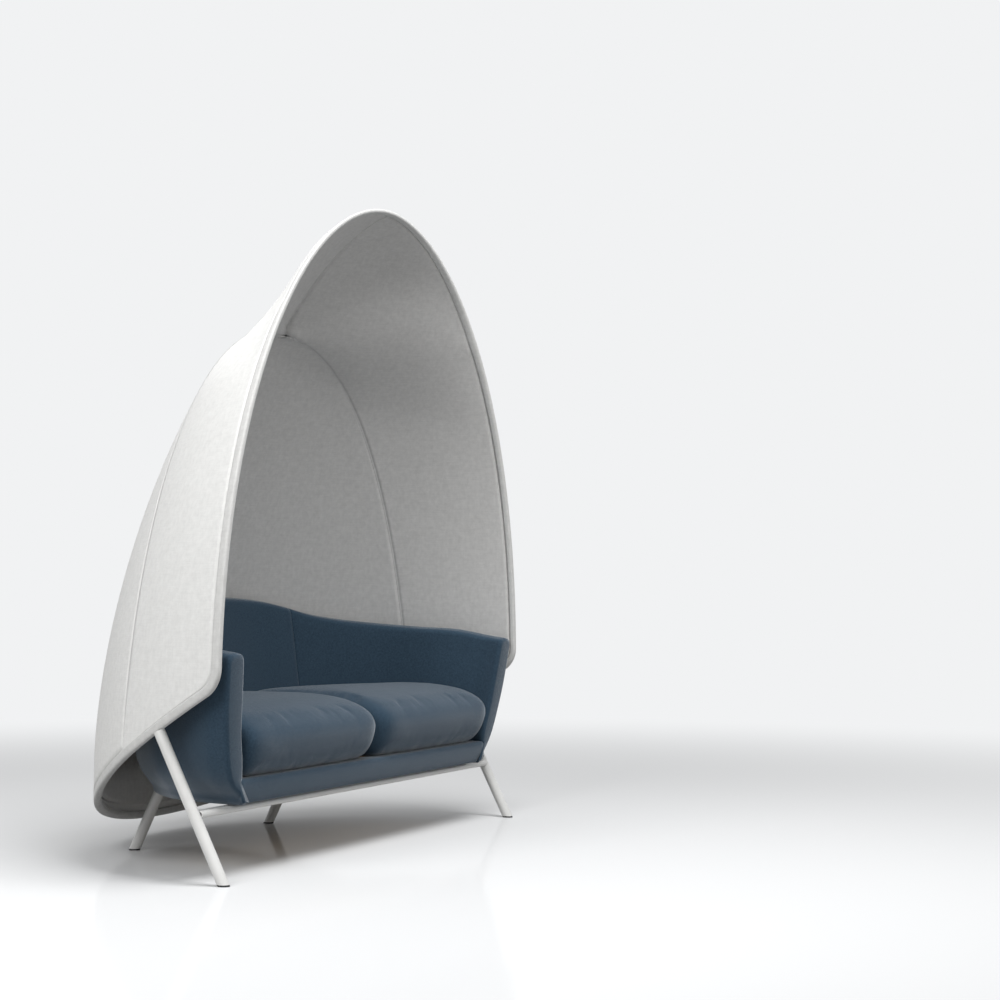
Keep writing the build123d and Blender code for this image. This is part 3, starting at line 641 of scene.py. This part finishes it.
def cushion_rows():
    """Rings of the right cushion from the middle of its underside to the middle of its crown."""
    rows = []
    for k in range(35):
        h = CUSHION_RISE * (0.5 - 0.5 * cos(pi * k / 34.0))
        inset, front = table(CUSHION_SIDE, h), table(CUSHION_FRONT, h)
        rows.append(cushion_ring(SEAT_Z + 1.0 + h, inset, front + 0.5, 1.6 + 0.7 * (inset - 3.0)))
    low, high = rows[0], rows[-1]
    shares = (0.0, 0.25, 0.5, 0.75, 0.92)
    inside_low = [[heart_of(low).lerp(p, q) for p in low] for q in shares]
    inside_high = []
    for q in shares[::-1]:
        dome = Vector((0.0, 0.0, 2.5 * MM * (1.0 - q * q)))
        inside_high.append([heart_of(high).lerp(p, q) + dome for p in high])
    return inside_low + rows + inside_high


VOXEL, PUFF, SIM_FRAMES = 0.006, 0.007, 20


def make_cushion():
    """The right cushion: a crowned form, remeshed and blown up a little as sewn cloth."""
    cushion = skin("seat_cushion_cover_right", cushion_rows(), closed=True)
    scene = bpy.context.scene
    bpy.context.view_layer.objects.active = cushion
    cushion.select_set(True)
    remesh = cushion.modifiers.new("even", "REMESH")
    remesh.mode = "VOXEL"
    remesh.voxel_size = VOXEL
    bpy.ops.object.modifier_apply(modifier="even")
    rest = [v.co.copy() for v in cushion.data.vertices]
    cloth = cushion.modifiers.new("cover", "CLOTH")
    settings = cloth.settings
    settings.quality = 4
    settings.mass = 0.3
    settings.tension_stiffness = settings.compression_stiffness = 12.0
    settings.shear_stiffness = 6.0
    settings.bending_stiffness = 0.6
    settings.use_pressure = True
    settings.uniform_pressure_force = 4.0
    settings.effector_weights.gravity = 0.0
    cloth.collision_settings.use_collision = False
    cloth.point_cache.frame_start, cloth.point_cache.frame_end = 1, SIM_FRAMES
    for step in range(1, SIM_FRAMES + 1):
        scene.frame_set(step)
    blown = cushion.evaluated_get(bpy.context.evaluated_depsgraph_get()).data
    moved = [v.co.copy() for v in blown.vertices]
    cushion.modifiers.remove(cloth)
    scene.frame_set(1)
    low = (SEAT_Z + 1.5) * MM
    for v, before, after in zip(cushion.data.vertices, rest, moved):
        step = after - before
        if step.length > PUFF:
            step *= PUFF / step.length
        v.co = before + step
        v.co.z = max(v.co.z, low)
        v.co.x = max(v.co.x, 1.2 * MM)
    bm = bmesh.new()
    bm.from_mesh(cushion.data)
    for _ in range(3):
        bmesh.ops.smooth_vert(bm, verts=bm.verts[:], factor=0.5,
                              use_axis_x=True, use_axis_y=True, use_axis_z=True)
    pour(bm, cushion.data)
    cushion.select_set(False)
    return cushion


def mirror_copy(piece, name):
    mesh = piece.data.copy()
    mesh.name = name
    bm = bmesh.new()
    bm.from_mesh(mesh)
    for v in bm.verts:
        v.co.x = -v.co.x
    bmesh.ops.reverse_faces(bm, faces=bm.faces[:])
    pour(bm, mesh)
    return link(name, mesh)


# ---------------------------------------------------------------- materials

def node(tree, kind, inputs=None, **settings):
    made = tree.nodes.new(kind)
    for key, value in settings.items():
        setattr(made, key, value)
    for key, value in (inputs or {}).items():
        if isinstance(value, bpy.types.NodeSocket):
            tree.links.new(value, made.inputs[key])
        else:
            made.inputs[key].default_value = value
    return made


def colour(r, g, b):
    """Linear colour from 0..255 display values."""
    def linear(c):
        c /= 255.0
        return c / 12.92 if c <= 0.04045 else ((c + 0.055) / 1.055) ** 2.4
    return (linear(r), linear(g), linear(b), 1.0)


def noise(tree, at, scale, detail, **more):
    return node(tree, "ShaderNodeTexNoise", {"Vector": at, "Scale": scale, "Detail": detail, **more})


def combined(tree, operation, a, b):
    return node(tree, "ShaderNodeMath", {0: a, 1: b}, operation=operation).outputs[0]


def ranged(tree, value, low, high, to_low=0.0, to_high=1.0, **settings):
    """The value spread from low..high onto to_low..to_high."""
    inputs = {0: value, 1: low, 2: high, 3: to_low, 4: to_high}
    return node(tree, "ShaderNodeMapRange", inputs, **settings).outputs[0]


def stretched(tree, at, scale):
    return node(tree, "ShaderNodeMapping", {"Vector": at, "Scale": scale}).outputs[0]


def tinted(tree, share, dark, light):
    return node(tree, "ShaderNodeMix", {"Factor": share, 6: dark, 7: light}, data_type="RGBA").outputs[2]


def new_group(name, inputs, outputs):
    tree = bpy.data.node_groups.new(name, "ShaderNodeTree")
    for socket, kind in inputs.items():
        tree.interface.new_socket(socket, in_out="INPUT", socket_type=kind)
    for socket in outputs:
        tree.interface.new_socket(socket, in_out="OUTPUT", socket_type="NodeSocketFloat")
    return tree, tree.nodes.new("NodeGroupInput"), tree.nodes.new("NodeGroupOutput")


def weave_group():
    """Plain weave on object coordinates: thread height and a soft speckle."""
    tree, start, end = new_group("wool_weave", {"Vector": "NodeSocketVector", "Threads": "NodeSocketFloat"},
                                 ("Height", "Speckle"))
    scaled = node(tree, "ShaderNodeVectorMath", {0: start.outputs["Vector"]}, operation="SCALE")
    tree.links.new(start.outputs["Threads"], scaled.inputs["Scale"])
    wobble = noise(tree, scaled.outputs[0], 0.35, 2.0)
    bent = node(tree, "ShaderNodeVectorMath", {0: scaled.outputs[0], 1: wobble.outputs["Color"]},
                operation="ADD")
    part = node(tree, "ShaderNodeSeparateXYZ", {0: bent.outputs[0]})
    diagonal = combined(tree, "ADD", part.outputs[0], part.outputs[1])
    warp = node(tree, "ShaderNodeMath", {0: diagonal}, operation="SINE")
    weft = node(tree, "ShaderNodeMath", {0: part.outputs[2]}, operation="SINE")
    both = combined(tree, "MULTIPLY", warp.outputs[0], weft.outputs[0])
    fleck = noise(tree, scaled.outputs[0], 0.55, 4.0, Roughness=0.7)
    tree.links.new(ranged(tree, both, -1.0, 1.0), end.inputs["Height"])
    tree.links.new(fleck.outputs["Fac"], end.inputs["Speckle"])
    return tree


def felt_group():
    """Pressed wool: fibres drawn out upwards, cloudy tone and a fine nap."""
    tree, start, end = new_group("pressed_felt", {"Vector": "NodeSocketVector"}, ("Streak", "Cloud", "Nap"))
    at = start.outputs["Vector"]
    streak = noise(tree, stretched(tree, at, (130.0, 130.0, 9.0)), 1.0, 5.0, Roughness=0.65)
    thread = noise(tree, stretched(tree, at, (20.0, 20.0, 420.0)), 1.0, 4.0)
    mixed = combined(tree, "ADD", streak.outputs["Fac"], thread.outputs["Fac"])
    cloud = noise(tree, at, 60.0, 6.0, Roughness=0.6)
    nap = noise(tree, at, 900.0, 3.0, Roughness=0.8)
    tree.links.new(combined(tree, "MULTIPLY", mixed, 0.5), end.inputs["Streak"])
    tree.links.new(cloud.outputs["Fac"], end.inputs["Cloud"])
    tree.links.new(nap.outputs["Fac"], end.inputs["Nap"])
    return tree


def new_material(name, values=None):
    """A material with its tree, its surface shader with the given values, and object coordinates."""
    material = bpy.data.materials.new(name)
    material.use_nodes = True
    tree = material.node_tree
    shader = tree.nodes["Principled BSDF"]
    for socket, value in (values or {}).items():
        shader.inputs[socket].default_value = value
    return material, tree, shader, node(tree, "ShaderNodeTexCoord").outputs["Object"]


def paint_over(tree, shader, base, height, strength, distance):
    """Link a colour and a relief to the surface shader."""
    tree.links.new(base, shader.inputs["Base Color"])
    relief = node(tree, "ShaderNodeBump", {"Height": height, "Strength": strength, "Distance": distance})
    tree.links.new(relief.outputs[0], shader.inputs["Normal"])


def felt_material(name, group, dark, light, bump):
    material, tree, shader, at = new_material(name, {
        "Roughness": 0.92, "Specular IOR Level": 0.2, "Sheen Weight": 0.25, "Sheen Roughness": 0.6})
    felt = node(tree, "ShaderNodeGroup", node_tree=group)
    tree.links.new(at, felt.inputs["Vector"])
    tone = combined(tree, "ADD", felt.outputs["Streak"], felt.outputs["Cloud"])
    raised = combined(tree, "ADD", felt.outputs["Nap"], felt.outputs["Streak"])
    base = tinted(tree, ranged(tree, tone, 0.75, 1.25), dark, light)
    paint_over(tree, shader, base, raised, bump, 0.0008)
    return material


def wool_material(name, group, dark, light):
    material, tree, shader, at = new_material(name, {
        "Roughness": 0.88, "Specular IOR Level": 0.25, "Sheen Weight": 1.0, "Sheen Roughness": 0.36,
        "Sheen Tint": colour(214, 220, 226)})
    weave = node(tree, "ShaderNodeGroup", node_tree=group)
    tree.links.new(at, weave.inputs["Vector"])
    weave.inputs["Threads"].default_value = 4200.0
    cloud = noise(tree, at, 170.0, 6.0, Roughness=0.75)
    tone = combined(tree, "ADD", weave.outputs["Speckle"], cloud.outputs["Fac"])
    base = tinted(tree, ranged(tree, tone, 0.78, 1.24), dark, light)
    paint_over(tree, shader, base, weave.outputs["Height"], 0.35, 0.0004)
    return material


def paint_material(name, base, rough, coat):
    material, tree, shader, at = new_material(name, {"Coat Weight": coat, "Coat Roughness": 0.2})
    peel = noise(tree, at, 700.0, 2.0)
    wear = noise(tree, at, 25.0, 6.0).outputs["Fac"]
    tree.links.new(ranged(tree, wear, 0.35, 0.75, rough - 0.06, rough + 0.1), shader.inputs["Roughness"])
    worn = tuple(c * 0.94 for c in base[:3]) + (1.0,)
    mixed = tinted(tree, ranged(tree, wear, 0.3, 0.7), worn, base)
    paint_over(tree, shader, mixed, peel.outputs["Fac"], 0.05, 0.0003)
    return material


def plywood_material():
    material, tree, shader, at = new_material("birch_plywood", {"Roughness": 0.6})
    grain = noise(tree, stretched(tree, at, (3.0, 60.0, 60.0)), 1.5, 6.0, Distortion=0.4).outputs["Fac"]
    base = tinted(tree, grain, colour(196, 160, 112), colour(226, 199, 158))
    paint_over(tree, shader, base, grain, 0.15, 0.0005)
    return material


def steel_material():
    material, tree, shader, at = new_material("zinc_steel", {
        "Metallic": 1.0, "Base Color": (0.56, 0.57, 0.58, 1.0)})
    spangle = noise(tree, at, 180.0, 4.0)
    tree.links.new(ranged(tree, spangle.outputs["Fac"], 0.0, 1.0, 0.28, 0.5), shader.inputs["Roughness"])
    return material


def webbing_material():
    material, tree, shader, at = new_material("elastic_webbing", {"Roughness": 0.8})
    ribs = node(tree, "ShaderNodeTexWave", {"Vector": at, "Scale": 120.0, "Distortion": 0.5}).outputs["Fac"]
    base = tinted(tree, ribs, (0.012, 0.012, 0.013, 1.0), (0.04, 0.04, 0.042, 1.0))
    paint_over(tree, shader, base, ribs, 0.4, 0.0005)
    return material


weave, felt = weave_group(), felt_group()
HOOD_FELT = felt_material("hood_felt", felt, colour(224, 224, 222), colour(237, 237, 235), 0.35)
LINING_FELT = felt_material("lining_felt", felt, colour(203, 202, 200), colour(219, 218, 216), 0.3)
# painted highlight: the seam piping is the lining felt made a shade lighter, so the fold and spine seams
# read as light lines
SEAM_HIGHLIGHT_FELT = felt_material("seam_felt_painted_highlight", felt, colour(206, 205, 203), colour(220, 219, 217), 0.2)
# painted shade: the rolled rim is the hood's own felt coloured a darker grey, which stands for the shade
# that falls on the rolled edge
RIM_SHADED_FELT = felt_material("rim_felt_painted_shade", felt, colour(202, 202, 200), colour(216, 216, 214), 0.3)
WOOL = wool_material("blue_grey_wool", weave, colour(34, 53, 69), colour(56, 77, 94))
WHITE_PAINT = paint_material("white_powder_coat", colour(226, 226, 224), 0.34, 0.15)
BLACK_PLASTIC = paint_material("black_glide_plastic", colour(26, 26, 27), 0.5, 0.0)
PLYWOOD, STEEL, WEBBING = plywood_material(), steel_material(), webbing_material()


def wear(piece, material):
    piece.data.materials.clear()
    piece.data.materials.append(material)


# ---------------------------------------------------------------- build and dress

def dress(piece, material, body, slot, *stood_for, fill=None):
    """Give a new piece its finish, its body and the solids that it stands for; its slot is not used."""
    wear(piece, material)
    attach(piece, body)
    if stood_for:
        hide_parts(*stood_for)


def dress_soft():
    """Hood, seams, tub covers and cushions."""
    shell, lining, rim = make_hood()
    panels = ("hood_side_{}_right", "hood_side_{}_left", "hood_back_{}")
    for panel, piece in zip(panels, shell):
        dress(piece, HOOD_FELT, "root", "hood_felt", panel.format("shell"))
    for panel, piece in zip(panels, lining):
        dress(piece, LINING_FELT, "root", "hood_lining", panel.format("lining"))
    dress(rim, RIM_SHADED_FELT, "root", "hood_felt", "hood_rim_right", "hood_rim_left")
    for seam in make_fold_seams():
        dress(seam, SEAM_HIGHLIGHT_FELT, "root", "hood_lining")
    for cover in make_tub() + [make_front_rail()]:
        dress(cover, WOOL, "root", "upholstery", cover.name.replace("_cover", ""), fill=0.9)
    right = make_cushion()
    left = mirror_copy(right, "seat_cushion_cover_left")
    for piece, side in ((right, "right"), (left, "left")):
        dress(piece, WOOL, f"cushion_{side}", "upholstery", f"seat_cushion_{side}", fill=0.8)


def dress_hard():
    """Finishes of the solids that show as they are, by the words in their names."""
    finishes = {WHITE_PAINT: ("leg", "crossbar", "rail_left", "rail_right", "plate"),
                BLACK_PLASTIC: ("glide", "spacer"), STEEL: ("bolt", "spigot"),
                PLYWOOD: ("board", "panel", "rib", "deck"), WEBBING: ("webbing",)}
    for name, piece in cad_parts.items():
        for material, words in finishes.items():
            if any(word in name for word in words):
                wear(piece, material)


dress_soft()
dress_hard()


# ---------------------------------------------------------------- floor, light, camera

BACKDROP = colour(241, 242, 243)


def seen(tree):
    """1 for rays from the camera and for mirrored ones, 0 for the light that bounces about."""
    path = node(tree, "ShaderNodeLightPath")
    return combined(tree, "MAXIMUM", path.outputs["Is Camera Ray"], path.outputs["Is Glossy Ray"])


def make_floor():
    bm = bmesh.new()
    bmesh.ops.create_grid(bm, x_segments=2, y_segments=2, size=30.0)
    mesh = bpy.data.meshes.new("studio_floor")
    bm.to_mesh(mesh)
    bm.free()
    floor = link("studio_floor", mesh)
    material, tree, shader, at = new_material("pale_gloss_floor")
    away = node(tree, "ShaderNodeVectorMath", {0: at}, operation="LENGTH")
    fade = ranged(tree, away.outputs["Value"], 1.6, 6.0, interpolation_type="SMOOTHSTEP")
    plain = node(tree, "ShaderNodeEmission", {"Color": BACKDROP, "Strength": 1.0})
    eye = seen(tree)
    tone = tinted(tree, eye, (0.3, 0.3, 0.3, 1.0), colour(226, 227, 228))
    matt = node(tree, "ShaderNodeBsdfDiffuse", {"Color": tone})
    gloss = node(tree, "ShaderNodeBsdfGlossy", {"Color": (1.0, 1.0, 1.0, 1.0), "Roughness": 0.09})
    near = node(tree, "ShaderNodeMixShader", {0: 0.09, 1: matt.outputs[0], 2: gloss.outputs[0]})
    share = combined(tree, "MULTIPLY", fade, eye)
    mixed = node(tree, "ShaderNodeMixShader", {0: share, 1: near.outputs[0], 2: plain.outputs[0]})
    tree.nodes.remove(shader)
    tree.links.new(mixed.outputs[0], tree.nodes["Material Output"].inputs["Surface"])
    floor.data.materials.append(material)


def make_world():
    world = bpy.data.worlds.new("studio")
    bpy.context.scene.world = world
    world.use_nodes = True
    tree = world.node_tree
    light = node(tree, "ShaderNodeBackground", {"Color": (1.0, 1.0, 1.0, 1.0), "Strength": 0.4})
    plain = node(tree, "ShaderNodeBackground", {"Color": BACKDROP, "Strength": 1.0})
    mixed = node(tree, "ShaderNodeMixShader", {0: seen(tree), 1: light.outputs[0], 2: plain.outputs[0]})
    tree.links.new(mixed.outputs[0], tree.nodes["World Output"].inputs["Surface"])


def make_lamp(name, spot, aim, size, power):
    lamp = bpy.data.lights.new(name, "AREA")
    lamp.shape = "RECTANGLE"
    lamp.size, lamp.size_y = size
    lamp.energy = power
    holder = link(name, lamp)
    holder.location = spot
    holder.rotation_euler = (Vector(aim) - Vector(spot)).to_track_quat("-Z", "Y").to_euler()


def make_camera():
    camera = bpy.data.cameras.new("camera")
    camera.lens, camera.sensor_width, camera.shift_y = 72.0, 36.0, 0.085
    camera.clip_end = 100.0
    holder = link("camera", camera)
    holder.location = (-5.347, -3.363, 0.800)
    holder.rotation_euler = (radians(90.0), 0.0, radians(-64.4))
    bpy.context.scene.camera = holder


make_floor()
make_world()
make_lamp("front_softbox", (-0.7, -2.0, 4.7), (0.0, -0.1, 0.6), (2.4, 2.4), 190.0)
make_lamp("side_softbox", (-4.2, -0.1, 2.9), (-0.4, 0.1, 0.9), (2.4, 2.4), 92.0)
make_camera()
bpy.context.scene.view_settings.view_transform = "Standard"
